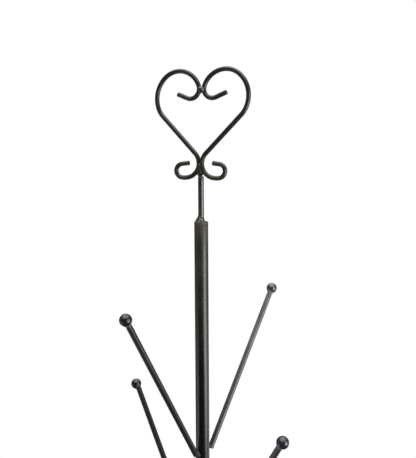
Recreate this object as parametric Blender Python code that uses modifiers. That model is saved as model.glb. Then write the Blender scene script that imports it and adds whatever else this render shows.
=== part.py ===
"""Wrought-iron mug tree with a bent-wire heart on top.

A round bar stands on four scroll feet. Two tiers of two straight arms rise from it at right angles
to each other, each with a ball on its tip. A thinner rod on top carries a heart made of two mirrored
wires that curl in at the top and scroll out at the bottom. Every joint is a weld, so nothing moves.

Metres, +Z up. The origin is on the floor, on the pole's axis. The upper arms run along Y and the
lower arms along X, and the feet stand under them.
"""

import math

import bmesh
import bpy

MM = 0.001
TREE = "mug_tree"

# ---- driving dimensions, as painted -------------------------------------------------------------
GAP = 0.3 * MM  # clearance left between pieces that touch

POLE_RADIUS = 5.1 * MM
POLE_BOTTOM = 38.0 * MM
POLE_TOP = 359.2 * MM

ROD_RADIUS = 2.1 * MM
ROD_TOP = 391.8 * MM

# a tier's height is where its arms' axes would meet the pole's axis
UPPER_TIER = 172.0 * MM
LOWER_TIER = 92.7 * MM
ARM_RADIUS = 2.15 * MM
BALL_RADIUS = 4.25 * MM
TIP_WELD_REACH = 0.75 * MM
TIP_WELD_LENGTH = 0.9 * MM
TIP_WELD_EDGE = 0.35 * MM
# name: (tier, compass angle from +X, tilt from the pole, pole axis to ball centre, how far the blunt
# end stands off the pole along the arm, height of the root's bead over the end), as welded by hand
ARMS = {
    "upper_front": (UPPER_TIER, 273.0, 29.4, 146.5 * MM, 0.0, -1.0 * MM),
    "upper_back": (UPPER_TIER, 88.0, 31.6, 149.5 * MM, 1.5 * MM, 2.6 * MM),
    "lower_right": (LOWER_TIER, 358.5, 31.4, 147.5 * MM, 0.4 * MM, 0.0),
    "lower_left": (LOWER_TIER, 181.5, 31.6, 147.7 * MM, 0.0, -1.0 * MM),
}
# balls welded off their rod's axis: (outward and down, across)
BALL_OFFSETS = {"lower_right": (0.15 * MM, 0.2 * MM), "lower_left": (2.15 * MM, -0.75 * MM)}
# one rod runs on beside its ball, up to this far below the ball's centre
PASSING_TIPS = {"lower_left": 2.4 * MM}

WIRE_RADIUS = 1.7 * MM
HEART_Z = 456.2 * MM  # the heart's own origin, just above the upper weld
HEART_TURN = 23.1  # the heart's plane, turned from the XZ plane about the pole
HEART_LEAN = 1.4  # sideways lean of the welded heart
HEART_SHIFT = 1.0 * MM
HEART_TIP = 1.05  # each wire tips this much, so that the two pass each other at the bottom
TOP_HALF_SPACING = 1.87 * MM  # from the heart's middle to a wire's axis, where they come closest at the top
BASE_HALF_SPACING = 1.6 * MM  # the same at the bottom, where one wire passes in front of the other
WIRE_HEADING = 70.5
# from the origin's height up, round the lobe and on to the straight side
LOBE = (
    ("bend", 16.4 * MM, -112.6),
    ("bend", 20.3 * MM, -66),
    ("bend", 16.5 * MM, -26),
)
# from the straight side round the lower scroll
SCROLL_RADIUS = 10.3 * MM
SCROLL = (
    ("bend", SCROLL_RADIUS, 120.2),
    ("bend", 15.4 * MM, 21.6),
    ("bend", 5.0 * MM, 165.2),
)
# from the origin's height down and round the inner curl
CURL_RADIUS = 6.7 * MM
INNER_CURL = (("bend", CURL_RADIUS, 131.8),)
# side: (sign of X, straight end of the scroll, straight end of the curl)
WIRES = {
    "right": (1, 5.3 * MM, 8.8 * MM),
    "left": (-1, 6.0 * MM, 8.0 * MM),
}

FOOT_RADIUS = 3.0 * MM
FOOT_ROOT_Z = 45.0 * MM
FOOT_FLAT_DEPTH = 0.4 * MM  # ground off the underside so that the foot sits flat
FOOT_NECK = 2.0 * MM
FOOT_SHOULDER = (30.0 * MM, -48)
FOOT_SWEEP = (75.0 * MM, 20)
FOOT_SCROLL_RADIUS = 8.0 * MM
FOOT_SCROLL_PAST_LEVEL = 200
FOOT_END = 4.0 * MM
FOOT_WELDED_POINTS = 8  # the points of a foot's path, from its root, that its bead is cleared for
BELOW_FLOOR = (300.0 * MM, 300.0 * MM, 20.0 * MM)
FEET = {"right": 0, "back": 90, "left": 180, "front": 270}

# half sizes of the weld beads, and how far each sits from its corner
ROOT_BEAD = (1.7 * MM, 2.9 * MM, 3.6 * MM)
ROOT_BEAD_OUT = 0.8 * MM
TOP_BEAD = (2.3 * MM, 2.4 * MM, 2.9 * MM)
TOP_BEAD_DROP = 2.6 * MM
BASE_BEAD = (2.8 * MM, 3.2 * MM, 5.6 * MM)
BASE_BEAD_DROP = 4.2 * MM
FOOT_BEAD = (2.4 * MM, 4.1 * MM, 4.6 * MM)
FOOT_BEAD_OUT = 0.8 * MM
# the cone of weld on the pole's top: (out from the pole's rim or from the rod, height)
CONE_TOP = (0.4 * MM, 3.8 * MM)
CONE_WAIST = (0.9 * MM, 2.3 * MM)
CONE_RIM = (-1.1 * MM, 0.6 * MM)
CONE_FOOT = -0.8 * MM

BEND_STEP = math.radians(14)  # one point of a wire's centre line for each step of a bend
MERGE_DISTANCE = 0.01 * MM
SMOOTH_UP_TO = math.radians(40)
ROUND_SIDES = 28
WIRE_SIDES = 3  # bevel resolution, which gives 10 sides
FOOT_SIDES = 3
BALL_SIDES = (20, 12)
CLEARANCE_SIDES = (32, 20)
BEAD_SIDES = (16, 9)


# ---- scene, collections and materials -----------------------------------------------------------
def clear_scene():
    for obj in list(bpy.data.objects):
        bpy.data.objects.remove(obj, do_unlink=True)


def new_collection(name):
    collection = bpy.data.collections.new(name)
    bpy.context.scene.collection.children.link(collection)
    return collection


def new_material(name, colour, roughness, metallic):
    material = bpy.data.materials.new(name)
    material.use_nodes = True
    shader = material.node_tree.nodes["Principled BSDF"]
    shader.inputs["Base Color"].default_value = (*colour, 1.0)
    shader.inputs["Roughness"].default_value = roughness
    shader.inputs["Metallic"].default_value = metallic
    return material


clear_scene()
PARTS = new_collection(TREE)
CUTTERS = new_collection("cutters")
CUTTERS.hide_render = True
IRON = new_material("black_iron", (0.028, 0.026, 0.023), 0.38, 0.25)
BALL_COAT = new_material("black_ball", (0.018, 0.018, 0.018), 0.25, 0.25)
WELD = new_material("painted_weld", (0.045, 0.040, 0.034), 0.50, 0.25)


def add_part(name, data, material, parent, location=(0, 0, 0), rotation=(0, 0, 0)):
    """A sub-part: one object in the tree's collection, placed in its parent's frame."""
    obj = bpy.data.objects.new(name, data)
    data.materials.clear()
    data.materials.append(material)
    obj.location = location
    obj.rotation_euler = rotation
    obj.parent = parent
    PARTS.objects.link(obj)
    return obj


def add_cutter(name, data, parent, location=(0, 0, 0), rotation=(0, 0, 0)):
    obj = bpy.data.objects.new(name, data)
    obj.location = location
    obj.rotation_euler = rotation
    obj.parent = parent
    obj.hide_render = True
    obj.display_type = "WIRE"
    CUTTERS.objects.link(obj)
    return obj


def add_empty(name, parent=None, location=(0, 0, 0), rotation=(0, 0, 0)):
    obj = bpy.data.objects.new(name, None)
    obj.location = location
    obj.rotation_euler = rotation
    obj.parent = parent
    PARTS.objects.link(obj)
    return obj


# ---- shapes -------------------------------------------------------------------------------------
def smooth(mesh):
    mesh.shade_smooth()
    mesh.set_sharp_from_angle(angle=SMOOTH_UP_TO)


def bar_mesh(name, radius, low, high):
    """A round bar along Z from low to high."""
    mesh = bpy.data.meshes.new(name)
    bm = bmesh.new()
    bmesh.ops.create_cone(
        bm, cap_ends=True, segments=ROUND_SIDES, radius1=radius, radius2=radius, depth=high - low
    )
    bmesh.ops.translate(bm, vec=(0, 0, (low + high) / 2), verts=bm.verts)
    bm.to_mesh(mesh)
    bm.free()
    smooth(mesh)
    return mesh


def ellipsoid_mesh(name, radii, sides):
    mesh = bpy.data.meshes.new(name)
    bm = bmesh.new()
    bmesh.ops.create_uvsphere(bm, u_segments=sides[0], v_segments=sides[1], radius=1.0)
    bmesh.ops.scale(bm, vec=radii, verts=bm.verts)
    bm.to_mesh(mesh)
    bm.free()
    smooth(mesh)
    return mesh


def ring_mesh(name, profile):
    """The closed outline of a ring's section, in X and Z, for a Screw modifier to turn about Z."""
    mesh = bpy.data.meshes.new(name)
    bm = bmesh.new()
    points = [bm.verts.new((x, 0, z)) for x, z in profile]
    for first, second in zip(points, points[1:] + points[:1]):
        bm.edges.new((first, second))
    bm.to_mesh(mesh)
    bm.free()
    return mesh


def turn_about_z(obj):
    screw = obj.modifiers.new("turn", "SCREW")
    screw.steps = screw.render_steps = ROUND_SIDES
    screw.use_merge_vertices = True
    screw.merge_threshold = MERGE_DISTANCE


def bent_path(start, heading, bends):
    """Points of a wire's centre line in the XZ plane: straights, and bends that turn anticlockwise if
    their angle is positive. Returns the points, and the heading at the end."""
    x, z = start
    heading = math.radians(heading)
    points = [(x, z)]
    for kind, size, *angle in bends:
        if kind == "straight":
            x += size * math.cos(heading)
            z += size * math.sin(heading)
            points.append((x, z))
            continue
        turn = math.radians(angle[0])
        side = math.copysign(1.0, turn)
        centre_x = x - side * size * math.sin(heading)
        centre_z = z + side * size * math.cos(heading)
        steps = max(2, math.ceil(abs(turn) / BEND_STEP))
        for step in range(1, steps + 1):
            now = heading + turn * step / steps
            points.append((centre_x + side * size * math.sin(now), centre_z - side * size * math.cos(now)))
        x, z = points[-1]
        heading += turn
    return points, heading


def wire_curve(name, points, radius, resolution):
    """A round wire along points in the XZ plane, with closed blunt ends."""
    curve = bpy.data.curves.new(name, "CURVE")
    curve.dimensions = "3D"
    curve.bevel_depth = radius
    curve.bevel_resolution = resolution
    curve.use_fill_caps = True
    spline = curve.splines.new("POLY")
    spline.points.add(len(points) - 1)
    for point, (x, z) in zip(spline.points, points):
        point.co = (x, 0, z, 1)
    spline.use_smooth = True
    return curve


def to_mesh_object(obj):
    """The same wire as a mesh with its caps welded on, so that a Boolean can use it."""
    bpy.context.view_layer.update()
    graph = bpy.context.evaluated_depsgraph_get()
    mesh = bpy.data.meshes.new_from_object(obj.evaluated_get(graph))
    bm = bmesh.new()
    bm.from_mesh(mesh)
    bmesh.ops.remove_doubles(bm, verts=bm.verts, dist=MERGE_DISTANCE)
    bmesh.ops.recalc_face_normals(bm, faces=bm.faces)
    bm.to_mesh(mesh)
    bm.free()
    smooth(mesh)
    made = bpy.data.objects.new("made", mesh)
    made.parent = obj.parent
    made.matrix_world = obj.matrix_world.copy()
    for collection in obj.users_collection:
        collection.objects.link(made)
    made.hide_render = obj.hide_render
    made.display_type = obj.display_type
    name = obj.name
    bpy.data.objects.remove(obj, do_unlink=True)
    made.name = name
    return made


def cut(obj, *cutters):
    for cutter in cutters:
        boolean = obj.modifiers.new("clear_" + cutter.name, "BOOLEAN")
        boolean.operation = "DIFFERENCE"
        boolean.solver = "EXACT"
        boolean.object = cutter


# ---- pole, rod and the weld between them --------------------------------------------------------
def build_pole(tree):
    add_part("pole", bar_mesh("pole", POLE_RADIUS, POLE_BOTTOM, POLE_TOP), IRON, tree)
    rod_mesh = bar_mesh("finial_rod", ROD_RADIUS, POLE_TOP + GAP, ROD_TOP)
    add_part("finial_rod", rod_mesh, IRON, tree)
    inner = ROD_RADIUS + GAP
    foot = POLE_TOP + GAP
    profile = (
        (inner, foot + CONE_TOP[1]),
        (inner + CONE_TOP[0], foot + CONE_TOP[1]),
        (inner + CONE_WAIST[0], foot + CONE_WAIST[1]),
        (POLE_RADIUS + CONE_RIM[0], foot + CONE_RIM[1]),
        (POLE_RADIUS + CONE_FOOT, foot),
        (inner, foot),
    )
    cone = add_part("pole_top_weld", ring_mesh("pole_top_weld", profile), WELD, tree)
    turn_about_z(cone)
    return add_cutter(
        "pole_clearance", bar_mesh("pole_clearance", POLE_RADIUS + GAP, POLE_BOTTOM, POLE_TOP), tree
    )


# ---- arms, balls and their welds ----------------------------------------------------------------
def build_arm(name, tree, pole_clearance):
    tier, compass, tilt, reach, stand_off, bead_up = ARMS[name]
    tilt = math.radians(tilt)
    compass = math.radians(compass)
    axis = add_empty("arm_axis_" + name, tree, location=(0, 0, tier), rotation=(0, tilt, compass))
    # the blunt end's inner corner comes up against the pole, or nearly
    root = (POLE_RADIUS + GAP + ARM_RADIUS * math.cos(tilt)) / math.sin(tilt) + stand_off
    tip = reach - PASSING_TIPS.get(name, BALL_RADIUS + GAP)
    arm = add_part("arm_" + name, bar_mesh("arm_" + name, ARM_RADIUS, root, tip), IRON, axis)
    centre = (*BALL_OFFSETS.get(name, (0, 0)), reach)
    ball = ellipsoid_mesh("ball_" + name, (BALL_RADIUS,) * 3, BALL_SIDES)
    add_part("ball_" + name, ball, BALL_COAT, axis, location=centre)

    # thin ring of weld in the corner between the rod and the ball
    inner = ARM_RADIUS + GAP
    outer = ARM_RADIUS + TIP_WELD_REACH
    clear = BALL_RADIUS + GAP

    def on_ball(radius):
        return reach - math.sqrt(clear**2 - radius**2)

    start = on_ball(inner) - TIP_WELD_LENGTH
    profile = (
        (inner, on_ball(inner)),
        (outer, on_ball(outer)),
        (outer, on_ball(outer) - TIP_WELD_EDGE),
        (inner + TIP_WELD_EDGE / 2, start),
        (inner, start),
    )
    ring = add_part("ball_weld_" + name, ring_mesh("ball_weld_" + name, profile), WELD, axis)
    turn_about_z(ring)
    if name in BALL_OFFSETS:
        clearance = add_cutter(
            "ball_clearance_" + name,
            ellipsoid_mesh("ball_clearance_" + name, (clear,) * 3, CLEARANCE_SIDES),
            axis,
            location=centre,
        )
        cut(arm, clearance)
        cut(ring, clearance)

    # a bead of weld down the corner on both sides and under it, cleared for the pole and the arm
    arm_clearance = add_cutter(
        "arm_clearance_" + name,
        bar_mesh("arm_clearance_" + name, ARM_RADIUS + GAP, root - GAP, tip),
        axis,
    )
    bead = ellipsoid_mesh("arm_weld_" + name, ROOT_BEAD, BEAD_SIDES)
    bead_radius = POLE_RADIUS + ROOT_BEAD_OUT
    corner = tier + root * math.cos(tilt) + ARM_RADIUS * math.sin(tilt)
    place = (bead_radius * math.cos(compass), bead_radius * math.sin(compass), corner + bead_up)
    weld = add_part("arm_weld_" + name, bead, WELD, tree, location=place, rotation=(0, 0, compass))
    cut(weld, pole_clearance, arm_clearance)


# ---- the heart ----------------------------------------------------------------------------------
def heart_wire_path(side):
    """A wire's centre line in the heart's own frame, from the inner curl's end over the lobe to the
    scroll's end, and the height where the wires come closest at the bottom. The straight side is as
    long as brings them to that spacing."""
    sign, scroll_end, curl_end = WIRES[side]
    # the wires come closest a little way down the curl, where it heads straight down
    start = (TOP_HALF_SPACING + CURL_RADIUS * (1 - math.sin(math.radians(WIRE_HEADING))), 0)
    lobe, heading = bent_path(start, WIRE_HEADING, LOBE)
    lobe_x, lobe_z = lobe[-1]
    # the scroll's first bend brings the wire from this heading to straight down
    bend_in = SCROLL_RADIUS * (1 + math.sin(heading))
    straight = (lobe_x - bend_in - BASE_HALF_SPACING) / -math.cos(heading)
    base_z = lobe_z + straight * math.sin(heading) + SCROLL_RADIUS * math.cos(heading)
    side_and_scroll = (("straight", straight), *SCROLL, ("straight", scroll_end))
    rest, _ = bent_path(lobe[-1], math.degrees(heading), side_and_scroll)
    curl, _ = bent_path(start, WIRE_HEADING + 180, INNER_CURL + (("straight", curl_end),))
    path = curl[:0:-1] + lobe + rest[1:]
    return [(sign * x, z) for x, z in path], base_z


def build_heart(tree):
    heart = add_empty(
        "heart_frame",
        tree,
        location=(0, 0, HEART_Z),
        rotation=(0, math.radians(HEART_LEAN), math.radians(HEART_TURN)),
    )
    clearances = []
    for side, (sign, *_) in WIRES.items():
        path, base_z = heart_wire_path(side)
        place = {"location": (HEART_SHIFT, 0, 0), "rotation": (-sign * math.radians(HEART_TIP), 0, 0)}
        name = "heart_wire_" + side
        add_part(name, wire_curve(name, path, WIRE_RADIUS, WIRE_SIDES), IRON, heart, **place)
        name = "wire_clearance_" + side
        clearance = add_cutter(name, wire_curve(name, path, WIRE_RADIUS + GAP, WIRE_SIDES), heart, **place)
        clearances.append(to_mesh_object(clearance))

    rod_clearance = add_cutter(
        "rod_clearance", bar_mesh("rod_clearance", ROD_RADIUS + GAP, POLE_TOP, ROD_TOP + GAP), tree
    )
    top_bead = ellipsoid_mesh("heart_top_weld", TOP_BEAD, BEAD_SIDES)
    top_weld = add_part(
        "heart_top_weld", top_bead, WELD, heart, location=(HEART_SHIFT, 0, -TOP_BEAD_DROP)
    )
    base_bead = ellipsoid_mesh("heart_base_weld", BASE_BEAD, BEAD_SIDES)
    base_weld = add_part(
        "heart_base_weld", base_bead, WELD, heart, location=(HEART_SHIFT, 0, base_z - BASE_BEAD_DROP)
    )
    cut(top_weld, *clearances)
    cut(base_weld, *clearances, rod_clearance)


# ---- feet ---------------------------------------------------------------------------------------
def foot_path():
    """Out from the pole, down over the shoulder to the floor, and up round the scroll. The straight
    before the scroll is as long as the drop to the floor needs."""
    shoulder_radius, shoulder_turn = FOOT_SHOULDER
    sweep_radius, sweep_turn = FOOT_SWEEP
    start = (POLE_RADIUS + GAP, FOOT_ROOT_Z)
    upper = (
        ("straight", FOOT_NECK),
        ("bend", shoulder_radius, shoulder_turn),
        ("bend", sweep_radius, sweep_turn),
    )
    points, heading = bent_path(start, 0, upper)
    slope = -heading
    lowest = FOOT_RADIUS - FOOT_FLAT_DEPTH
    scroll_drop = FOOT_SCROLL_RADIUS * (1 - math.cos(slope))
    straight = (points[-1][1] - lowest - scroll_drop) / math.sin(slope)
    lower = (
        ("straight", straight),
        ("bend", FOOT_SCROLL_RADIUS, math.degrees(slope)),
        ("bend", FOOT_SCROLL_RADIUS, FOOT_SCROLL_PAST_LEVEL),
        ("straight", FOOT_END),
    )
    more, _ = bent_path(points[-1], math.degrees(heading), lower)
    return points + more[1:]


def floor_cutter(tree):
    mesh = bpy.data.meshes.new("below_floor")
    bm = bmesh.new()
    bmesh.ops.create_cube(bm, size=1.0)
    bmesh.ops.scale(bm, vec=BELOW_FLOOR, verts=bm.verts)
    bmesh.ops.translate(bm, vec=(0, 0, -BELOW_FLOOR[2] / 2), verts=bm.verts)
    bm.to_mesh(mesh)
    bm.free()
    return add_cutter("below_floor", mesh, tree)


def build_foot(name, tree, pole_clearance, below_floor):
    path = foot_path()
    turn = (0, 0, math.radians(FEET[name]))
    foot = add_part(
        "foot_" + name, wire_curve("foot_" + name, path, FOOT_RADIUS, FOOT_SIDES), IRON, tree, rotation=turn
    )
    cut(to_mesh_object(foot), below_floor)

    clearance = add_cutter(
        "foot_clearance_" + name,
        wire_curve("foot_clearance_" + name, path[:FOOT_WELDED_POINTS], FOOT_RADIUS + GAP, FOOT_SIDES),
        tree,
        rotation=turn,
    )
    clearance = to_mesh_object(clearance)
    bead = ellipsoid_mesh("foot_weld_" + name, FOOT_BEAD, BEAD_SIDES)
    angle = math.radians(FEET[name])
    reach = POLE_RADIUS + FOOT_BEAD_OUT
    centre = (reach * math.cos(angle), reach * math.sin(angle), FOOT_ROOT_Z)
    weld = add_part("foot_weld_" + name, bead, WELD, tree, location=centre, rotation=turn)
    cut(weld, pole_clearance, clearance)


def main():
    tree = add_empty(TREE)
    pole_clearance = build_pole(tree)
    for name in ARMS:
        build_arm(name, tree, pole_clearance)
    build_heart(tree)
    below_floor = floor_cutter(tree)
    for name in FEET:
        build_foot(name, tree, pole_clearance, below_floor)


main()
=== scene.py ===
"""Looks of the wrought-iron mug tree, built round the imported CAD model.

Each CAD node is replaced by a finely made piece in the same place: round bars with dressed ends, bent
wires, lumpy weld beads, balls with a collar of paint where the rod enters, and scroll feet. They stand
in a pale studio. A seed only shifts a piece's noise, so that no two pieces are uneven in the same way.
"""

import math
from typing import NamedTuple

import bmesh
import bpy
from mathutils import Matrix, Vector, noise


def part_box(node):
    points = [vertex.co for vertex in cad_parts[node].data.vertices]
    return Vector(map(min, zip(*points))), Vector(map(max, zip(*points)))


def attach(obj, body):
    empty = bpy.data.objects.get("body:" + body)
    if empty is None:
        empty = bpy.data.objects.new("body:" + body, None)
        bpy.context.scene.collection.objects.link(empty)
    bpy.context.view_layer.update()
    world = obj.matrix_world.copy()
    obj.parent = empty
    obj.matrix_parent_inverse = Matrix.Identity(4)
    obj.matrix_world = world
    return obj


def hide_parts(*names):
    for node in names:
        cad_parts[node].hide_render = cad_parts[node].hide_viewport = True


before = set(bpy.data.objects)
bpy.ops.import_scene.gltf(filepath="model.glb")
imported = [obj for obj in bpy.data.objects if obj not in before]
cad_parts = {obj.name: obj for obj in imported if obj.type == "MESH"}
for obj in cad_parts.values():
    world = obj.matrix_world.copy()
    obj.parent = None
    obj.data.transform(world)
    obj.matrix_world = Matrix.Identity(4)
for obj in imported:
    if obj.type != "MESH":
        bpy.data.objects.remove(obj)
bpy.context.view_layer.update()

MM = 0.001
UP = Vector((0, 0, 1))
EAST = Vector((1, 0, 0))

# ---- camera and studio --------------------------------------------------------------------------
VIEW_COMPASS = -44.0  # where the camera stands, in degrees round the pole from +X
CAMERA_DISTANCE = 410.6 * MM
CAMERA_HEIGHT = 390.0 * MM
CAMERA_YAW = 0.69  # degrees to the right of the pole
CAMERA_PITCH = 5.07  # degrees down
CAMERA_ROLL = -0.32
CAMERA_LENS = 44.44
CAMERA_SENSOR_WIDTH = 36.0
CAMERA_CLIP_START = 10.0 * MM

LIGHT_CENTRE_HEIGHT = 300.0 * MM
ROOM_RADIANCE = 0.035
BACKDROP_RADIANCE = 0.38
BACKDROP_HALF_ANGLE = 45.0
BACKDROP_SOFTNESS = 0.18  # half the width of its edge, as a change of the angle's cosine
BACKDROP_DIP = 0.4  # the slope at which its middle lies below the horizon, as it sweeps under the tree
OVERHEAD_RADIANCE = 3.6
OVERHEAD_ANGLES = (24.0, 58.0)  # from straight above: full inside the first, gone outside the second
OVERHEAD_WARMTH = (1.0, 0.98, 0.985)
# name: (degrees to the right of the camera, elevation, distance, (width, height), radiance, roll)
SOFTBOXES = {
    "softbox_right": (58, -6, 1.0, (0.70, 0.95), 5.25, 9.0),
    "softbox_front": (43, -10, 0.95, (0.50, 0.24), 2.0, 0.0),
    "softbox_left": (-85, -38, 1.1, (0.92, 0.95), 0.98, 0.0),
    "softbox_edge": (-95, 8, 1.1, (0.45, 0.60), 0.5, 0.0),
    "softbox_low": (108, -27, 1.1, (1.15, 0.42), 1.0, 0.0),
}
FLOOR_COLOUR = (0.40, 0.40, 0.395)
FLOOR_RADIUS = 4.0
FLOOR_FADE = (0.15, 0.33)  # metres from the pole over which the floor goes over into the white backdrop

# ---- how the tree was made ----------------------------------------------------------------------
BAR_SIDES = 72
WIRE_SIDES = 40
BAR_STEP = 2.5 * MM  # between the rings of a straight
BEND_STEP = math.radians(4.0)  # and of a bend
CUT_BEVEL = 0.28 * MM  # edge left on a sawn end
POLE_BEVEL = 0.5 * MM
PAINT_LUMP = 0.003 * MM  # how uneven the coat is
PAINT_WAVES = 220.0  # and how many times in a metre
AGED_HEIGHTS = (0.255, 0.356, 0.41)  # the coat is brownest at the middle one
PAINTED_LIGHT_HEIGHTS = (0.165, 0.275, 0.42)  # and lightest at the middle one, on the back arm: painted light, with painted shade towards its root
SCALED_HEIGHTS = (0.338, 0.358, 0.372)  # and dullest at the middle one, from the heat of the weld

# waves per metre of the coat's brown clouds, rubbed patches, changes of gloss and orange peel
CLOUD_WAVES, RUBBED_WAVES, GLOSS_WAVES, PEEL_WAVES = 90.0, 1400.0, 300.0, 350.0
# the values of their noise between which they go from least to most
CLOUD_EDGES, RUBBED_EDGES, GLOSS_EDGES = (0.36, 0.64), (0.42, 0.60), (0.3, 0.7)
THIN_BROWN = 0.55  # share of the brown that is left between the clouds
TOP_BROWN = 0.3  # and from the highest height upwards
RUBBED_MOST = 0.8  # how far a patch goes over to the colour RUBBED where the coat is most worn
DRAWN_LINES = 24.0  # round a bar
RUBBED = (0.085, 0.072, 0.060)  # the colour of a rubbed patch
GLOSS_CHANGE = 0.03  # of the roughness, up and down
BROWN_DULLING = 0.14  # how much rougher the coat is where it is brownest
RELIEF_STRENGTH = 0.25


class Coat(NamedTuple):
    """Black paint over iron. It goes from dark at the lowest of three heights to brown at the middle
    one, and most of the way back at the highest. streak draws the relief out along a bar. aged is the
    share of the brown that is there already at the lowest height, worn how much the edges show and, on
    a weld, how much lighter its swells are than the painted shade of its hollows, shine its
    reflectance, tint the colour of its reflections and scaled how much the heat of the top weld dulled it."""

    dark: tuple
    brown: tuple
    roughness: float
    relief: float = 0.01 * MM
    streak: float = 1.0
    aged: float = 0.0
    worn: float = 1.0
    shine: float = 0.5
    tint: tuple = (1.0, 1.0, 1.0)
    scaled: float = 0.0
    heights: tuple = AGED_HEIGHTS


ALONG_BAR = 0.08  # the streak of a bar's coat
BLACK = (0.0035, 0.0034, 0.0034)
BROWN = (0.0315, 0.0290, 0.0150)
BALL_BLACK = (0.006, 0.0055, 0.0062)
COATS = {
    "black_iron_coat": Coat(BLACK, BROWN, 0.27, streak=ALONG_BAR, scaled=0.22),
    "rod_coat": Coat(BLACK, (0.026, 0.0248, 0.0100), 0.24, 0.004 * MM, ALONG_BAR, shine=1.0),
    "wire_coat": Coat((0.0105, 0.0070, 0.0078), BROWN, 0.27, streak=ALONG_BAR),
    "arm_coat": Coat(
        (0.0138, 0.0122, 0.0124), (0.018, 0.0165, 0.0140), 0.30, streak=ALONG_BAR, shine=0.32
    ),
    "gloss_ball_coat": Coat(
        BALL_BLACK, (0.012, 0.011, 0.009), 0.22, 0.006 * MM, tint=(0.95, 0.94, 1.0)
    ),
    # painted light: a lighter copy of the arm and ball coats, lightest midway up the arm and darker
    # towards its root
    "painted_light_back_arm_coat": Coat(
        (0.0085, 0.0078, 0.0078), (0.094, 0.085, 0.0865), 0.30, streak=ALONG_BAR, heights=PAINTED_LIGHT_HEIGHTS
    ),
    "painted_light_back_ball_coat": Coat(
        BALL_BLACK, (0.036, 0.0285, 0.027), 0.23, 0.006 * MM, shine=0.9, heights=PAINTED_LIGHT_HEIGHTS
    ),
    # painted light: lighter copies of the arm and ball coats for the right arm and its ball
    "painted_light_right_arm_coat": Coat((0.037, 0.0265, 0.0295), BROWN, 0.30, streak=ALONG_BAR, shine=0.4),
    "painted_light_right_ball_coat": Coat(
        (0.0145, 0.0135, 0.0172), (0.030, 0.0225, 0.018), 0.23, 0.006 * MM, tint=(0.95, 0.95, 1.0)
    ),
    "weld_coat": Coat(
        (0.005, 0.0047, 0.0043), (0.022, 0.019, 0.0125), 0.36, 0.02 * MM, aged=0.15, worn=0.25
    ),
    # the thin ring of weld at a ball is painted light grey: a painted reflection of the light from below
    "painted_light_seam_coat": Coat((0.34, 0.33, 0.32), (0.10, 0.095, 0.09), 0.30),
    "shiny_weld_coat": Coat((0.006, 0.0055, 0.005), (0.016, 0.014, 0.010), 0.24, shine=0.8),
}

GAP = 0.3 * MM  # the CAD's clearance between pieces that touch
POLE_RADIUS = 5.1 * MM
ARM_RADIUS = 2.15 * MM
UPPER_TIER = 172.0 * MM
LOWER_TIER = 92.7 * MM
# name: (tier, compass angle from +X, tilt from the pole, how far the blunt end stands off the pole)
ARMS = {
    "upper_front": (UPPER_TIER, 273.0, 29.4, 0.0),
    "upper_back": (UPPER_TIER, 88.0, 31.6, 1.5 * MM),
    "lower_right": (LOWER_TIER, 358.5, 31.4, 0.4 * MM),
    "lower_left": (LOWER_TIER, 181.5, 31.6, 0.0),
}

# the coats of an arm and its ball: two pairs are lighter copies, painted light standing in for the light
# that falls on them
USUAL_ARM_COATS = ("arm_coat", "gloss_ball_coat")
ARM_COATS = {
    "upper_back": ("painted_light_back_arm_coat", "painted_light_back_ball_coat"),
    "lower_right": ("painted_light_right_arm_coat", "painted_light_right_ball_coat"),
}
BALL_UNEVENNESS = 0.006  # of a ball's radius
PAINT_DRIP = 0.20 * MM  # a quarter of this gathers at a ball's lowest point
DRIP_SLOPE = 0.75  # how far down a ball's surface faces where the drip starts
PAINT_COLLAR = 0.06 * MM
COLLAR_RADIUS = 1.25 * ARM_RADIUS
RUNS_BESIDE = 0.3  # a rod further off a ball's centre than this share of its radius runs beside it
# a rod's tip in a ball and beside one: how far short of its centre, as a share of its radius, and
# the tip's bevel
TIP_INSIDE = (0.8, 0.1 * MM)
TIP_BESIDE = (0.4, 0.6 * MM)

# the ring of weld at a ball: its radius, and its place outside the rod and forward of the corner
RING_BEAD = 0.38 * MM
RING_BEAD_OUT = 0.12 * MM
RING_BEAD_FORWARD = 0.20 * MM
# the bead at a ball beside its rod: its place back along the rod and towards the ball, and its radii
# towards the ball, across and along the rod
SIDE_BEAD_BACK = 2.9 * MM
SIDE_BEAD_IN = 0.3 * MM
SIDE_BEAD_RADII = (1.5 * MM, 2.2 * MM, 1.9 * MM)
# the bead at an arm's root: its place outside the pole, its radii out of the pole and sideways, and
# as shares of half the CAD's height how far it hangs below the middle and its upright radius
ROOT_BEAD_OUT = 0.4 * MM
ROOT_BEAD_RADII = (1.5 * MM, 2.4 * MM)
ROOT_BEAD_LOWER = 0.2
ROOT_BEAD_RISE = 0.8

ROD_SUNK = 0.1 * MM  # how far the heart's rod goes into the pole
CONE_SUNK = 0.2 * MM
CONE_FOOT = (0.73, 0.15)  # of the pole's radius: its reach on average, and how much more on its left
CONE_TOP = (0.95, 0.27)  # the same for its top, of the CAD's height
CONE_NECK = 0.96  # of the rod's radius, at its top
CONE_FLARE = 1.1
CONE_LUMPS = 0.35 * MM
CONE_DROP = 1.0 * MM
CONE_DROP_TURN = 27  # degrees to the right of the camera
CONE_DROP_SPREAD = 0.055

WIRE_RADIUS = 1.7 * MM
HEART_Z = 456.2 * MM  # where the two wires part at the top
HEART_TURN = 23.1  # degrees about the pole from the XZ plane
HEART_LEAN = 1.4  # degrees sideways in its own plane
HEART_SHIFT = 1.0 * MM
HEART_TIP = 1.05  # degrees that each wire is tipped out of the plane, one forward and one back
TOP_HALF_SPACING = 1.87 * MM  # from the heart's middle to the middle of a wire
BASE_HALF_SPACING = 1.6 * MM
WIRE_HEADING = 70.5  # of a wire where the lobe starts, in degrees from level
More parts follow.
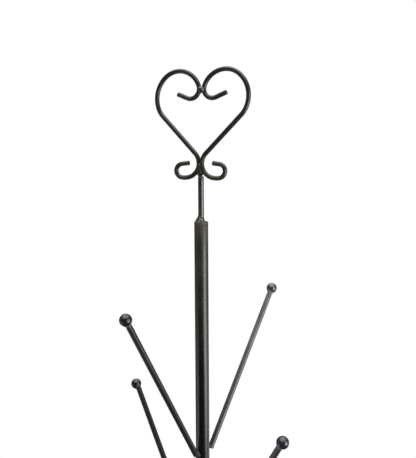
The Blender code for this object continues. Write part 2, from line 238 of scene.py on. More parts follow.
# a wire's bends, from the start of its lobe on: (kind, radius, degrees)
LOBE = (
    ("bend", 16.4 * MM, -112.6),
    ("bend", 20.3 * MM, -66),
    ("bend", 16.5 * MM, -26),
)
SCROLL_RADIUS = 10.3 * MM
SCROLL = (
    ("bend", SCROLL_RADIUS, 120.2),
    ("bend", 15.4 * MM, 21.6),
    ("bend", 5.0 * MM, 165.2),
)
CURL_RADIUS = 6.7 * MM
INNER_CURL = (("bend", CURL_RADIUS, 131.8),)
# side: (sign of X, straight end of the scroll, straight end of the curl)
WIRES = {
    "right": (1, 5.3 * MM, 8.8 * MM),
    "left": (-1, 6.0 * MM, 8.0 * MM),
}
WIRE_FLATTENING = 0.15 * MM  # of a bend, times its curvature
# the beads' places in the heart's frame, and their radii along its axes
HEART_TOP_BEAD = (0.2 * MM, -1.7 * MM, -3.1 * MM)
HEART_TOP_BEAD_RADII = (2.6 * MM, 2.3 * MM, 2.5 * MM)
HEART_BASE_BEAD = (0.0, 0.0, -59.6 * MM)
HEART_BASE_BEAD_RADII = (2.9 * MM, 2.9 * MM, 5.4 * MM)

FOOT_RADIUS = 3.0 * MM
FOOT_ROOT_Z = 45.0 * MM
FOOT_FLAT_DEPTH = 0.4 * MM
FOOT_SUNK = 0.3 * MM  # into the pole
FOOT_NECK = 2.0 * MM
# a foot's bends: (radius, degrees)
FOOT_SHOULDER = (30.0 * MM, -48)
FOOT_SWEEP = (75.0 * MM, 20)
FOOT_SCROLL_RADIUS = 8.0 * MM
FOOT_SCROLL_PAST_LEVEL = 200  # degrees
FOOT_END = 4.0 * MM
FOOT_FLATTENING = 0.12 * MM
FOOT_BEAD_OUT = 5.9 * MM  # from the pole's axis
FOOT_BEAD_RADII = (2.4 * MM, 4.1 * MM)  # out of the pole and sideways
FEET = {"right": 0, "back": 90, "left": 180, "front": 270}  # name: compass angle from +X


# ---- camera -------------------------------------------------------------------------------------
def compass(angle, radius=1.0, height=0.0):
    """A point at a compass angle round the pole, in degrees from +X."""
    angle = math.radians(angle)
    return Vector((radius * math.cos(angle), radius * math.sin(angle), height))


def add_camera():
    """The scene's camera, which looks a little down past the pole."""
    data = bpy.data.cameras.new("camera")
    data.lens = CAMERA_LENS
    data.sensor_width = CAMERA_SENSOR_WIDTH
    data.clip_start = CAMERA_CLIP_START
    camera = bpy.data.objects.new("camera", data)
    turn = Matrix.Rotation(math.radians(90 + VIEW_COMPASS - CAMERA_YAW), 4, "Z")
    pitch = Matrix.Rotation(math.radians(90 - CAMERA_PITCH), 4, "X")
    roll = Matrix.Rotation(math.radians(CAMERA_ROLL), 4, "Z")
    stand = Matrix.Translation(compass(VIEW_COMPASS, CAMERA_DISTANCE, CAMERA_HEIGHT))
    camera.matrix_world = stand @ turn @ pitch @ roll
    bpy.context.scene.collection.objects.link(camera)
    bpy.context.scene.camera = camera


# ---- studio -------------------------------------------------------------------------------------
def add_softbox(name, angle, elevation, distance, size, radiance, roll):
    """A soft light, facing the middle of the tree from a compass angle and an elevation, and rolled
    in its own plane. Its power gives the radiance that a reflection of it shows."""
    data = bpy.data.lights.new(name, "AREA")
    data.shape = "RECTANGLE"
    data.size, data.size_y = size
    data.energy = radiance * math.pi * size[0] * size[1]
    light = bpy.data.objects.new(name, data)
    level = distance * math.cos(math.radians(elevation))
    height = distance * math.sin(math.radians(elevation))
    place = compass(angle, level, LIGHT_CENTRE_HEIGHT + height)
    light.location = place
    facing = Vector((0, 0, LIGHT_CENTRE_HEIGHT)) - place
    light.rotation_mode = "QUATERNION"
    turn = Matrix.Rotation(math.radians(roll), 3, "Z").to_quaternion()
    light.rotation_quaternion = facing.to_track_quat("-Z", "Y") @ turn
    light.visible_camera = False
    bpy.context.scene.collection.objects.link(light)


def add_world():
    """What the coat mirrors: a grey backdrop behind the tree that sweeps down under it, a dim room in
    front and a wide soft light overhead. The camera itself sees plain white."""
    world = bpy.data.worlds.new("studio")
    bpy.context.scene.world = world
    world.use_nodes = True
    nodes, links = world.node_tree.nodes, world.node_tree.links
    nodes.clear()
    output = nodes.new("ShaderNodeOutputWorld")
    white = nodes.new("ShaderNodeBackground")
    white.inputs["Color"].default_value = (1.0, 1.0, 1.0, 1.0)
    room = nodes.new("ShaderNodeBackground")
    place = nodes.new("ShaderNodeTexCoord")
    along = nodes.new("ShaderNodeVectorMath")
    along.operation = "DOT_PRODUCT"
    along.inputs[1].default_value = (compass(VIEW_COMPASS + 180) - UP * BACKDROP_DIP).normalized()
    ramp = nodes.new("ShaderNodeMapRange")
    ramp.interpolation_type = "SMOOTHSTEP"
    edge = math.cos(math.radians(BACKDROP_HALF_ANGLE))
    ramp.inputs["From Min"].default_value = edge - BACKDROP_SOFTNESS
    ramp.inputs["From Max"].default_value = edge + BACKDROP_SOFTNESS
    ramp.inputs["To Min"].default_value = ROOM_RADIANCE
    ramp.inputs["To Max"].default_value = BACKDROP_RADIANCE
    above = nodes.new("ShaderNodeVectorMath")
    above.operation = "DOT_PRODUCT"
    above.inputs[1].default_value = UP
    overhead = nodes.new("ShaderNodeMapRange")
    overhead.interpolation_type = "SMOOTHSTEP"
    overhead.inputs["From Min"].default_value = math.cos(math.radians(OVERHEAD_ANGLES[1]))
    overhead.inputs["From Max"].default_value = math.cos(math.radians(OVERHEAD_ANGLES[0]))
    overhead.inputs["To Max"].default_value = OVERHEAD_RADIANCE
    ceiling = nodes.new("ShaderNodeBackground")
    ceiling.inputs["Color"].default_value = (*OVERHEAD_WARMTH, 1.0)
    both = nodes.new("ShaderNodeAddShader")
    rays = nodes.new("ShaderNodeLightPath")
    mix = nodes.new("ShaderNodeMixShader")
    links.new(place.outputs["Generated"], above.inputs[0])
    links.new(above.outputs["Value"], overhead.inputs["Value"])
    links.new(overhead.outputs["Result"], ceiling.inputs["Strength"])
    links.new(room.outputs["Background"], both.inputs[0])
    links.new(ceiling.outputs["Background"], both.inputs[1])
    links.new(place.outputs["Generated"], along.inputs[0])
    links.new(along.outputs["Value"], ramp.inputs["Value"])
    links.new(ramp.outputs["Result"], room.inputs["Strength"])
    links.new(rays.outputs["Is Camera Ray"], mix.inputs["Fac"])
    links.new(both.outputs["Shader"], mix.inputs[1])
    links.new(white.outputs["Background"], mix.inputs[2])
    links.new(mix.outputs["Shader"], output.inputs["Surface"])


def floor_material():
    """Pale matt floor that goes over into the white of the backdrop away from the tree."""
    material = bpy.data.materials.new("pale_floor")
    material.use_nodes = True
    nodes, links = material.node_tree.nodes, material.node_tree.links
    shader = nodes["Principled BSDF"]
    output = nodes["Material Output"]
    shader.inputs["Base Color"].default_value = (*FLOOR_COLOUR, 1.0)
    shader.inputs["Roughness"].default_value = 0.9
    shader.inputs["Specular IOR Level"].default_value = 0.1
    white = nodes.new("ShaderNodeEmission")
    white.inputs["Strength"].default_value = 1.0
    place = nodes.new("ShaderNodeTexCoord")
    length = nodes.new("ShaderNodeVectorMath")
    length.operation = "LENGTH"
    fade = nodes.new("ShaderNodeMapRange")
    fade.interpolation_type = "SMOOTHSTEP"
    fade.inputs["From Min"].default_value = FLOOR_FADE[0]
    fade.inputs["From Max"].default_value = FLOOR_FADE[1]
    mix = nodes.new("ShaderNodeMixShader")
    links.new(place.outputs["Object"], length.inputs[0])
    links.new(length.outputs["Value"], fade.inputs["Value"])
    links.new(fade.outputs["Result"], mix.inputs["Fac"])
    links.new(shader.outputs["BSDF"], mix.inputs[1])
    links.new(white.outputs["Emission"], mix.inputs[2])
    links.new(mix.outputs["Shader"], output.inputs["Surface"])
    return material


def add_floor():
    """A wide disc under the tree."""
    bm = bmesh.new()
    bmesh.ops.create_circle(bm, cap_ends=True, segments=96, radius=FLOOR_RADIUS)
    mesh = made_mesh("floor", bm)
    mesh.materials.append(floor_material())
    floor = bpy.data.objects.new("floor", mesh)
    # the coat mirrors the room and not the floor, and the lights below its level shine through it
    floor.visible_glossy = False
    floor.visible_shadow = False
    bpy.context.scene.collection.objects.link(floor)


def add_studio():
    """The world, the floor and the lights."""
    add_world()
    add_floor()
    for name, (to_the_right, *rest) in SOFTBOXES.items():
        add_softbox(name, VIEW_COMPASS + to_the_right, *rest)
    bpy.context.scene.view_settings.view_transform = "Standard"


# ---- materials ----------------------------------------------------------------------------------
def add_coat_material(name, coat):
    """A coat's material. The brown comes in clouds and is duller, worn edges are rubbed lighter in
    patches, and on the welds the same patches go lighter on the swells than in the hollows, which is
    partly wear and partly painted shade in the hollows. The gloss changes in broad waves, and the relief
    is orange peel and drawn lines. The lines run along the V of a bar's UV map."""
    material = bpy.data.materials.new(name)
    material.use_nodes = True
    nodes, links = material.node_tree.nodes, material.node_tree.links
    shader = nodes["Principled BSDF"]
    shader.inputs["IOR"].default_value = 1.55
    shader.inputs["Metallic"].default_value = 0.0
    shader.inputs["Specular IOR Level"].default_value = coat.shine
    shader.inputs["Specular Tint"].default_value = (*coat.tint, 1.0)

    place = nodes.new("ShaderNodeTexCoord")

    def noise_at(scale, detail=3.0, vector=None):
        texture = nodes.new("ShaderNodeTexNoise")
        texture.inputs["Scale"].default_value = scale
        texture.inputs["Detail"].default_value = detail
        links.new(vector or place.outputs["Object"], texture.inputs["Vector"])
        return texture.outputs["Fac"]

    def ranged(value, low, high, to_low, to_high):
        ramp = nodes.new("ShaderNodeMapRange")
        ramp.inputs["From Min"].default_value = low
        ramp.inputs["From Max"].default_value = high
        ramp.inputs["To Min"].default_value = to_low
        ramp.inputs["To Max"].default_value = to_high
        links.new(value, ramp.inputs["Value"])
        return ramp.outputs["Result"]

    def combined(operation, first, second):
        node = nodes.new("ShaderNodeMath")
        node.operation = operation
        for socket, value in zip(node.inputs, (first, second)):
            if isinstance(value, float):
                socket.default_value = value
            else:
                links.new(value, socket)
        return node.outputs["Value"]

    def mixed(factor, first, second):
        mix = nodes.new("ShaderNodeMix")
        mix.data_type = "RGBA"
        links.new(factor, mix.inputs["Factor"])
        for socket, colour in (("A", first), ("B", second)):
            if isinstance(colour, tuple):
                mix.inputs[socket].default_value = (*colour, 1.0)
            else:
                links.new(colour, mix.inputs[socket])
        return mix.outputs["Result"]

    height = nodes.new("ShaderNodeSeparateXYZ")
    links.new(place.outputs["Object"], height.inputs["Vector"])
    low, middle, high = coat.heights
    rising = ranged(height.outputs["Z"], low, middle, coat.aged, 1.0)
    falling = ranged(height.outputs["Z"], middle, high, 1.0, TOP_BROWN)
    browned = combined("MINIMUM", rising, falling)
    clouds = ranged(noise_at(CLOUD_WAVES), *CLOUD_EDGES, THIN_BROWN, 1.0)
    colour = mixed(combined("MULTIPLY", browned, clouds), coat.dark, coat.brown)
    # worn edges, and a weld's swells over its hollows: partly rubbed wear, partly painted shade in the
    # hollows
    wear_and_shade = nodes.new("ShaderNodeAttribute")
    wear_and_shade.attribute_name = "wear_and_shade"
    patches = ranged(noise_at(RUBBED_WAVES), *RUBBED_EDGES, 0.0, RUBBED_MOST * coat.worn)
    rubbed = combined("MULTIPLY", wear_and_shade.outputs["Fac"], patches)
    links.new(mixed(rubbed, colour, RUBBED), shader.inputs["Base Color"])

    smoothest, roughest = coat.roughness - GLOSS_CHANGE, coat.roughness + GLOSS_CHANGE
    gloss = ranged(noise_at(GLOSS_WAVES), *GLOSS_EDGES, smoothest, roughest)
    low, middle, high = SCALED_HEIGHTS
    scaling = ranged(height.outputs["Z"], low, middle, 0.0, coat.scaled)
    easing = ranged(height.outputs["Z"], middle, high, coat.scaled, 0.0)
    brown_dulling = combined("MULTIPLY", browned, BROWN_DULLING)
    dulled = combined("ADD", brown_dulling, combined("MINIMUM", scaling, easing))
    links.new(combined("ADD", gloss, dulled), shader.inputs["Roughness"])

    stretch = nodes.new("ShaderNodeMapping")
    stretch.inputs["Scale"].default_value = (DRAWN_LINES, DRAWN_LINES * coat.streak, 1.0)
    links.new(place.outputs["UV"], stretch.inputs["Vector"])
    lines = noise_at(1.0, 2.0, stretch.outputs["Vector"])
    bump = nodes.new("ShaderNodeBump")
    bump.inputs["Strength"].default_value = RELIEF_STRENGTH
    bump.inputs["Distance"].default_value = coat.relief
    links.new(combined("ADD", lines, noise_at(PEEL_WAVES, 2.0)), bump.inputs["Height"])
    links.new(bump.outputs["Normal"], shader.inputs["Normal"])


# ---- mesh helpers -------------------------------------------------------------------------------
def add_piece(node, mesh, coat):
    """A finished piece that stands for a CAD node and goes with its body."""
    mesh.materials.append(bpy.data.materials[coat])
    mesh.shade_smooth()
    piece = bpy.data.objects.new(node + "_painted", mesh)
    bpy.context.scene.collection.objects.link(piece)
    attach(piece, "root")
    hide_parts(node)


def made_mesh(name, bm):
    """A mesh made from bm, which is freed."""
    mesh = bpy.data.meshes.new(name)
    bm.to_mesh(mesh)
    bm.free()
    return mesh


class Station(NamedTuple):
    """One ring of a swept bar: its centre, the bar's direction there, its radius, how worn it is, and
    how far it is wider across the bar's plane than in it."""

    centre: Vector
    along: Vector
    radius: float
    wear_and_shade: float = 0.0
    flatten: float = 0.0


def blunt_end(centre, outward, radius, bevel=CUT_BEVEL):
    """Stations of a sawn end with a dressed edge, from the middle of its face to the full radius."""
    face = radius - bevel
    stations = [
        Station(centre, outward, 0.0),
        Station(centre, outward, 0.5 * face),
        Station(centre, outward, 0.9 * face, 0.3),
    ]
    for step in range(5):
        turn = math.radians(22.5 * step)
        back = outward * (bevel * (1 - math.cos(turn)))
        stations.append(Station(centre - back, outward, face + bevel * math.sin(turn), 1.0))
    return stations


def swept_bar(name, path, across, sides, bevels=(CUT_BEVEL, CUT_BEVEL), seed=0.0):
    """A round bar along path, a list of stations, with a blunt end in place of those near its ends.
    across is at right angles to the whole path. The UV map's U goes round and its V along, both in
    turns of the bar."""
    first, last = path[0], path[-1]
    start = blunt_end(first.centre, -first.along, first.radius, bevels[0])
    end = blunt_end(last.centre, last.along, last.radius, bevels[1])
    stations = [station._replace(along=-station.along) for station in start]
    for station in path:
        near_start = (station.centre - first.centre).length < 2.0 * bevels[0]
        near_end = (station.centre - last.centre).length < 2.0 * bevels[1]
        if not near_start and not near_end:
            stations.append(station)
    stations += reversed(end)

    bm = bmesh.new()
    uv_layer = bm.loops.layers.uv.new("UVMap")
    wear_and_shade_layer = bm.verts.layers.float.new("wear_and_shade")
    rings, travel, spots = [], 0.0, []
    turn_length = 2 * math.pi * first.radius
    for index, station in enumerate(stations):
        if index:
            step = (station.centre - stations[index - 1].centre).length
            travel += max(step, abs(station.radius - stations[index - 1].radius))
        spots.append(travel / turn_length)
        sideways = across.cross(station.along).normalized()
        ring = []
        count = sides if station.radius > 0 else 1
        for corner in range(count):
            angle = 2 * math.pi * corner / sides
            outward = sideways * math.cos(angle) * (1 - station.flatten)
            outward += across * math.sin(angle) * (1 + station.flatten)
            radius = station.radius
            if radius > 0:
                spot = (station.centre + outward * radius) * PAINT_WAVES + EAST * seed
                radius += PAINT_LUMP * noise.noise(spot)
            vertex = bm.verts.new(station.centre + outward * radius)
            vertex[wear_and_shade_layer] = station.wear_and_shade
            ring.append(vertex)
        rings.append(ring)

    def add_face(corners, places):
        face = bm.faces.new(corners)
        for loop, place in zip(face.loops, places):
            loop[uv_layer].uv = place

    for index in range(len(rings) - 1):
        low, high = rings[index], rings[index + 1]
        v_low, v_high = spots[index], spots[index + 1]
        for corner in range(sides):
            after = (corner + 1) % sides
            u, u_after = corner / sides, (corner + 1) / sides
            if len(low) == 1:
                add_face((low[0], high[after], high[corner]), ((u, v_low), (u_after, v_high), (u, v_high)))
            elif len(high) == 1:
                add_face((low[corner], low[after], high[0]), ((u, v_low), (u_after, v_low), (u, v_high)))
            else:
                add_face(
                    (low[corner], low[after], high[after], high[corner]),
                    ((u, v_low), (u_after, v_low), (u_after, v_high), (u, v_high)),
                )
    bmesh.ops.recalc_face_normals(bm, faces=bm.faces)
    return made_mesh(name, bm)


def straight_path(start, end, radius):
    """Stations of a straight bar, close enough together to carry the coat's unevenness."""
    along = (end - start).normalized()
    steps = max(2, round((end - start).length / BAR_STEP))
    return [Station(start.lerp(end, step / steps), along, radius) for step in range(steps + 1)]


def square_to(direction):
    """A direction at right angles to another one."""
    side = UP if abs(direction.z) < 0.9 else EAST
    return direction.cross(side).normalized()


def bent_path(start, heading, bends):
    """Points (x, z, heading, curvature) of a centre line in the XZ plane. bends is a series of
    ("straight", length) and ("bend", radius, degrees), which turns anticlockwise if it is positive."""
    x, z = start
    heading = math.radians(heading)
    points = [(x, z, heading, 0.0)]
    for kind, size, *angle in bends:
        if kind == "straight":
            steps = max(1, round(size / BAR_STEP))
            for _ in range(steps):
                x += size / steps * math.cos(heading)
                z += size / steps * math.sin(heading)
                points.append((x, z, heading, 0.0))
            continue
        turn = math.radians(angle[0])
        side = math.copysign(1.0, turn)
        centre_x = x - side * size * math.sin(heading)
        centre_z = z + side * size * math.cos(heading)
        steps = max(2, math.ceil(abs(turn) / BEND_STEP))
        for step in range(1, steps + 1):
            now = heading + turn * step / steps
            x = centre_x + side * size * math.sin(now)
            z = centre_z - side * size * math.cos(now)
            points.append((x, z, now, 1 / size))
        heading += turn
    return points


# ---- bars, arms and balls -----------------------------------------------------------------------
def add_pole():
    """The pole, and on it the rod that carries the heart."""
    low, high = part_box("pole")
    path = straight_path(UP * low.z, UP * high.z, (high.x - low.x) / 2)
    mesh = swept_bar("pole", path, EAST, BAR_SIDES, (POLE_BEVEL, POLE_BEVEL), 3.0)
    add_piece("pole", mesh, "black_iron_coat")

    low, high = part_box("finial_rod")
    path = straight_path(UP * (low.z - GAP - ROD_SUNK), UP * high.z, (high.x - low.x) / 2)
    mesh = swept_bar("finial_rod", path, EAST, WIRE_SIDES, seed=9.0)
    add_piece("finial_rod", mesh, "rod_coat")


def arm_axis(name):
    """The blunt lower end of an arm's axis and the arm's direction."""
    tier, angle, tilt, stand_off = ARMS[name]
    tilt = math.radians(tilt)
    along = compass(angle) * math.sin(tilt) + UP * math.cos(tilt)
    root = (POLE_RADIUS + GAP + ARM_RADIUS * math.cos(tilt)) / math.sin(tilt) + stand_off
    return UP * tier + along * root, along


def ball_mesh(name, ball, along, radius, seed):
    """A ball, not quite round, with a faint collar of paint where the rod enters. The coat is thicker
    at its lowest point, where the paint gathered."""
    bm = bmesh.new()
    bmesh.ops.create_icosphere(bm, subdivisions=5, radius=1.0)
    wear_and_shade_layer = bm.verts.layers.float.new("wear_and_shade")
    collar_edge = math.cos(math.asin(COLLAR_RADIUS / radius))
    for vertex in bm.verts:
        outward = vertex.co.normalized()
        facing_rod = -outward.dot(along)
        size = radius * (1.0 + BALL_UNEVENNESS * noise.noise(outward * 1.6 + EAST * seed))
        size += PAINT_LUMP * noise.noise(outward * 5.0 + Vector((0, seed, 0)))
        size += PAINT_DRIP * max(0.0, -outward.z - DRIP_SLOPE)
        if facing_rod > collar_edge:
            size += PAINT_COLLAR * (facing_rod - collar_edge) / (1 - collar_edge)
        vertex.co = ball + outward * size
        vertex[wear_and_shade_layer] = 0.25 * max(0.0, outward.z)
    return made_mesh(name, bm)


def add_arm(name, seed):
    """An arm with its ball, the weld between them and the bead at its root."""
    rod_coat, ball_coat = ARM_COATS.get(name, USUAL_ARM_COATS)
    root, along = arm_axis(name)
    low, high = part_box("ball_" + name)
    ball = (low + high) / 2
    ball_radius = (high.z - low.z) / 2
    # the rod runs into the ball, or on beside it where the ball is welded off the rod's axis
    ball_height = (ball - root).dot(along)
    off_axis = ball - root - along * ball_height
    beside = off_axis.length > RUNS_BESIDE * ball_radius
    short, tip_bevel = TIP_BESIDE if beside else TIP_INSIDE
    path = straight_path(root, root + along * (ball_height - short * ball_radius), ARM_RADIUS)
    mesh = swept_bar("arm_" + name, path, square_to(along), WIRE_SIDES, (CUT_BEVEL, tip_bevel), seed)
    add_piece("arm_" + name, mesh, rod_coat)
    mesh = ball_mesh("ball_" + name, ball, along, ball_radius, seed)
    add_piece("ball_" + name, mesh, ball_coat)

    # the corner between rod and ball: a thin ring, or a bead along the side of a rod that runs past
    if beside:
        to_ball = off_axis.normalized()
        corner = root + along * (ball_height - SIDE_BEAD_BACK) + to_ball * SIDE_BEAD_IN
        axes = (to_ball, along.cross(to_ball), along)
        bead = lump_mesh("ball_weld_" + name, corner, axes, SIDE_BEAD_RADII, seed)
        add_piece("ball_weld_" + name, bead, "shiny_weld_coat")
    else:
        corner = root + along * (ball_height - math.sqrt(ball_radius**2 - ARM_RADIUS**2))
        ring = ring_bead("ball_weld_" + name, corner, along, seed)
        # its light grey coat is a painted reflection, not the weld's own colour
        add_piece("ball_weld_" + name, ring, "painted_light_seam_coat")
    add_piece("arm_weld_" + name, root_bead("arm_weld_" + name, seed), "weld_coat")


# ---- welds --------------------------------------------------------------------------------------
def rough(point, seed, scale):
    """Lumps of a weld's surface, about -1 to 1: broad swells with finer ones on them."""
    spot = point * scale + Vector((seed, -seed, 0.5 * seed))
    return noise.noise(spot) + 0.45 * noise.noise(spot * 2.3) + 0.2 * noise.noise(spot * 5.1)


def ring_bead(name, corner, along, seed):
    """The thin ring of weld in the corner between an arm and its ball."""
    across = square_to(along)
    sideways = across.cross(along)
    bm = bmesh.new()
    wear_and_shade_layer = bm.verts.layers.float.new("wear_and_shade")
    major_steps, minor_steps = 96, 16
    rings = []
    for major in range(major_steps):
        turn = 2 * math.pi * major / major_steps
        outward = sideways * math.cos(turn) + across * math.sin(turn)
        swell = 1.0 + 0.22 * noise.noise(outward * 2.2 + EAST * seed)
        ripple = 1.0 + 0.08 * math.sin(14 * turn + seed)
        ring = []
        for minor in range(minor_steps):
            angle = 2 * math.pi * minor / minor_steps
            size = RING_BEAD * swell * ripple
            out = ARM_RADIUS + RING_BEAD_OUT + size * math.cos(angle)
            forward = RING_BEAD_FORWARD + 1.1 * size * math.sin(angle)
            vertex = bm.verts.new(corner + outward * out + along * forward)
            vertex[wear_and_shade_layer] = 1.0
            ring.append(vertex)
        rings.append(ring)
    for major in range(major_steps):
        here, after = rings[major], rings[(major + 1) % major_steps]
        for minor in range(minor_steps):
            step = (minor + 1) % minor_steps
            bm.faces.new((here[minor], after[minor], after[step], here[step]))
    bmesh.ops.recalc_face_normals(bm, faces=bm.faces)
    return made_mesh(name, bm)


def lump_mesh(name, centre, axes, radii, seed, lump=0.11, ripple=0.05, detail=5):
    """A weld bead: an ellipsoid on three axes, pushed out and in by lumps and by the ripples that the
    weld pool left as it moved along the third axis."""
    bm = bmesh.new()
    bmesh.ops.create_icosphere(bm, subdivisions=detail, radius=1.0)
    wear_and_shade_layer = bm.verts.layers.float.new("wear_and_shade")
    for vertex in bm.verts:
        outward = vertex.co.normalized()
        swell = lump * rough(outward, seed, 1.7)
        bow = outward.z + 0.25 * outward.x * outward.x
        swell += ripple * math.sin(4 * math.pi * bow + seed)
        size = 1.0 + swell
        local = [outward[i] * radii[i] * size for i in range(3)]
        vertex.co = centre + axes[0] * local[0] + axes[1] * local[1] + axes[2] * local[2]
        # the swells are rubbed lighter and the hollows left dark: partly wear, partly painted shade in the
        # hollows
        vertex[wear_and_shade_layer] = min(1.0, max(0.0, 0.35 + 3.0 * swell))
    return made_mesh(name, bm)


def root_bead(node, seed):
    """The bead in the corner between an arm's blunt end and the pole."""
    low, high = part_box(node)
    middle = (low + high) / 2
    out = Vector((middle.x, middle.y, 0)).normalized()
    side = UP.cross(out)
    height = (high.z - low.z) / 2
    centre = out * (POLE_RADIUS + ROOT_BEAD_OUT) + UP * (middle.z - ROOT_BEAD_LOWER * height)
    radii = (*ROOT_BEAD_RADII, ROOT_BEAD_RISE * height)
    return lump_mesh(node, centre, (out, side, UP), radii, seed, lump=0.12, ripple=0.03)


def heart_place():
    """The heart's own frame: X along its plane, Y across it and Z up."""
    place = Matrix.Translation((0, 0, HEART_Z))
    place = place @ Matrix.Rotation(math.radians(HEART_TURN), 4, "Z")
    return place @ Matrix.Rotation(math.radians(HEART_LEAN), 4, "Y")


def heart_bead(name, offset, radii, seed, pinch=0.0):
    """A bead between the heart's wires, at an offset in the heart's frame, whose -Y is its front.
    pinch narrows its upper end to where the wires meet."""
    place = heart_place()
    axes = [place.to_3x3().col[i].copy() for i in range(3)]
    centre = place @ (Vector(offset) + Vector((HEART_SHIFT, 0, 0)))
    mesh = lump_mesh(name, centre, axes, radii, seed, lump=0.10, ripple=0.02, detail=6)
    for vertex in mesh.vertices:
        away = vertex.co - centre
        rise = away.dot(axes[2]) / radii[2]
        vertex.co -= axes[0] * away.dot(axes[0]) * pinch * max(0.0, rise)
    return mesh


def add_welds():
    """The welds on the pole's top, in the heart and at the feet."""
    add_piece("pole_top_weld", cone_bead(), "shiny_weld_coat")
    mesh = heart_bead("heart_top_weld", HEART_TOP_BEAD, HEART_TOP_BEAD_RADII, 4.0)
    add_piece("heart_top_weld", mesh, "shiny_weld_coat")
    mesh = heart_bead("heart_base_weld", HEART_BASE_BEAD, HEART_BASE_BEAD_RADII, 7.0, pinch=0.55)
    add_piece("heart_base_weld", mesh, "weld_coat")

    for index, (name, angle) in enumerate(FEET.items()):
        node = "foot_weld_" + name
        low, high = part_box(node)
        out = compass(angle)
        centre = out * FOOT_BEAD_OUT + UP * (low.z + high.z) / 2
        radii = (*FOOT_BEAD_RADII, (high.z - low.z) / 2)
        mesh = lump_mesh(node, centre, (out, UP.cross(out), UP), radii, 11.0 + index)
        add_piece(node, mesh, "weld_coat")


def cone_bead():
    """Weld metal on the pole's end, up round the rod: wide and tall on the viewer's left, narrower and
    lower on the right, with a drop of it at the front near its foot."""
    low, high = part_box("pole_top_weld")
    rod_low, rod_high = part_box("finial_rod")
    neck = CONE_NECK * (rod_high.x - rod_low.x) / 2
    height = high.z - low.z
    foot = low.z - GAP - CONE_SUNK
    sides, rows = 120, 40
    built_up = compass(VIEW_COMPASS - 90)
    drop = (compass(VIEW_COMPASS + CONE_DROP_TURN) - UP * 0.02).normalized()
    bm = bmesh.new()
    wear_and_shade_layer = bm.verts.layers.float.new("wear_and_shade")
    rings = []
    for row in range(rows + 1):
        rise = row / rows
        flank = (1 - rise) ** CONE_FLARE
        ring = []
        for side in range(sides):
            outward = compass(360 * side / sides)
            toward = outward.dot(built_up)
            reach = POLE_RADIUS * (CONE_FOOT[0] + CONE_FOOT[1] * toward)
            radius = neck + (reach - neck) * flank
            spot = outward * radius / POLE_RADIUS + UP * rise
            bump = CONE_LUMPS * rough(spot, 2.0, 2.2) * math.sin(math.pi * (0.15 + 0.85 * rise))
            closeness = (outward + UP * (rise - 0.1)).normalized().dot(drop)
            bump += CONE_DROP * math.exp(-(1 - closeness) / CONE_DROP_SPREAD)
            top = low.z + height * (CONE_TOP[0] + CONE_TOP[1] * toward)
            vertex = bm.verts.new(outward * (radius + bump * (1 - rise**4)))
            vertex.co.z = foot + (top - foot) * rise
            # the lumps and the drop are rubbed lighter than the hollows between them: partly wear, partly
            # painted shade in the hollows
            vertex[wear_and_shade_layer] = min(1.0, max(0.0, bump / (0.6 * MM)))
            ring.append(vertex)
        rings.append(ring)
    for row in range(rows):
        for side in range(sides):
            after = (side + 1) % sides
            here, above = rings[row], rings[row + 1]
            bm.faces.new((here[side], here[after], above[after], above[side]))
    bm.faces.new(reversed(rings[0]))
    bm.faces.new(rings[-1])
    return made_mesh("pole_top_weld", bm)


# ---- the heart ----------------------------------------------------------------------------------
def heart_wire_path(side):
    """A wire's centre line in the heart's own frame, from the inner curl's end over the lobe to the
    scroll's end. The straight side is as long as brings the wires to their spacing at the bottom."""
    sign, scroll_end, curl_end = WIRES[side]
    start = (TOP_HALF_SPACING + CURL_RADIUS * (1 - math.sin(math.radians(WIRE_HEADING))), 0)
    lobe = bent_path(start, WIRE_HEADING, LOBE)
    lobe_x, lobe_z, heading, _ = lobe[-1]
    bend_in = SCROLL_RADIUS * (1 + math.sin(heading))
    straight = (lobe_x - bend_in - BASE_HALF_SPACING) / -math.cos(heading)
    side_and_scroll = (("straight", straight), *SCROLL, ("straight", scroll_end))
    rest = bent_path((lobe_x, lobe_z), math.degrees(heading), side_and_scroll)
    curl = bent_path(start, WIRE_HEADING + 180, INNER_CURL + (("straight", curl_end),))
    turned = [(x, z, heading + math.pi, curve) for x, z, heading, curve in reversed(curl[1:])]
    return [(sign * x, z, heading, curve) for x, z, heading, curve in turned + lobe + rest[1:]], sign


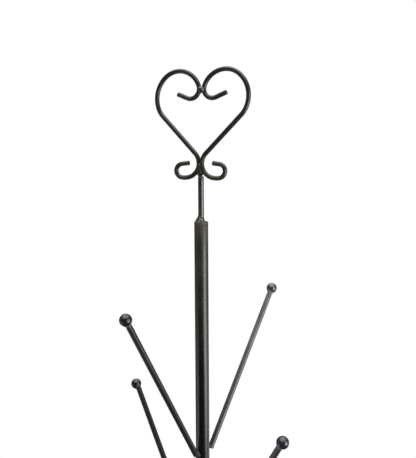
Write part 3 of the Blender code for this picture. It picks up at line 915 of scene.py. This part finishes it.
def add_heart():
    """The heart's two wires, each tipped a little out of its plane."""
    base = heart_place()
    for side in WIRES:
        points, sign = heart_wire_path(side)
        tip = Matrix.Rotation(-sign * math.radians(HEART_TIP), 4, "X")
        place = base @ Matrix.Translation((HEART_SHIFT, 0, 0)) @ tip
        path = []
        for x, z, heading, curve in points:
            along = place.to_3x3() @ Vector((sign * math.cos(heading), 0, math.sin(heading)))
            point = place @ Vector((x, 0, z))
            path.append(Station(point, along, WIRE_RADIUS, flatten=curve * WIRE_FLATTENING))
        across = place.to_3x3() @ Vector((0, 1, 0))
        node = "heart_wire_" + side
        mesh = swept_bar(node, path, across, WIRE_SIDES, seed=20.0 + sign)
        add_piece(node, mesh, "wire_coat")


# ---- feet ---------------------------------------------------------------------------------------
def foot_path():
    """A foot's centre line, as points (distance from the pole's axis, height, heading, curvature): out
    of the pole, over the shoulder, down the leg and round the scroll that stands on the floor."""
    shoulder_radius, shoulder_turn = FOOT_SHOULDER
    sweep_radius, sweep_turn = FOOT_SWEEP
    low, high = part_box("pole")
    start = ((high.x - low.x) / 2 - FOOT_SUNK, FOOT_ROOT_Z)
    upper = (
        ("straight", FOOT_SUNK + GAP + FOOT_NECK),
        ("bend", shoulder_radius, shoulder_turn),
        ("bend", sweep_radius, sweep_turn),
    )
    points = bent_path(start, 0, upper)
    x, z, heading, _ = points[-1]
    slope = -heading
    lowest = FOOT_RADIUS - FOOT_FLAT_DEPTH
    scroll_drop = FOOT_SCROLL_RADIUS * (1 - math.cos(slope))
    straight = (z - lowest - scroll_drop) / math.sin(slope)
    lower = (
        ("straight", straight),
        ("bend", FOOT_SCROLL_RADIUS, math.degrees(slope)),
        ("bend", FOOT_SCROLL_RADIUS, FOOT_SCROLL_PAST_LEVEL),
        ("straight", FOOT_END),
    )
    return points + bent_path((x, z), math.degrees(heading), lower)[1:]


def add_feet():
    """Four scroll feet, ground flat where they stand."""
    points = foot_path()
    for index, (name, angle) in enumerate(FEET.items()):
        out = compass(angle)
        path = []
        for x, z, heading, curve in points:
            along = out * math.cos(heading) + UP * math.sin(heading)
            flatten = curve * FOOT_FLATTENING
            path.append(Station(out * x + UP * z, along, FOOT_RADIUS, flatten=flatten))
        mesh = swept_bar("foot_" + name, path, out.cross(UP), WIRE_SIDES, seed=30.0 + index)
        for vertex in mesh.vertices:
            vertex.co.z = max(vertex.co.z, 0.0)
        add_piece("foot_" + name, mesh, "black_iron_coat")


def main():
    add_camera()
    add_studio()
    for name, coat in COATS.items():
        add_coat_material(name, coat)
    add_pole()
    for index, name in enumerate(ARMS):
        add_arm(name, 40.0 + 7 * index)
    add_heart()
    add_welds()
    add_feet()


main()
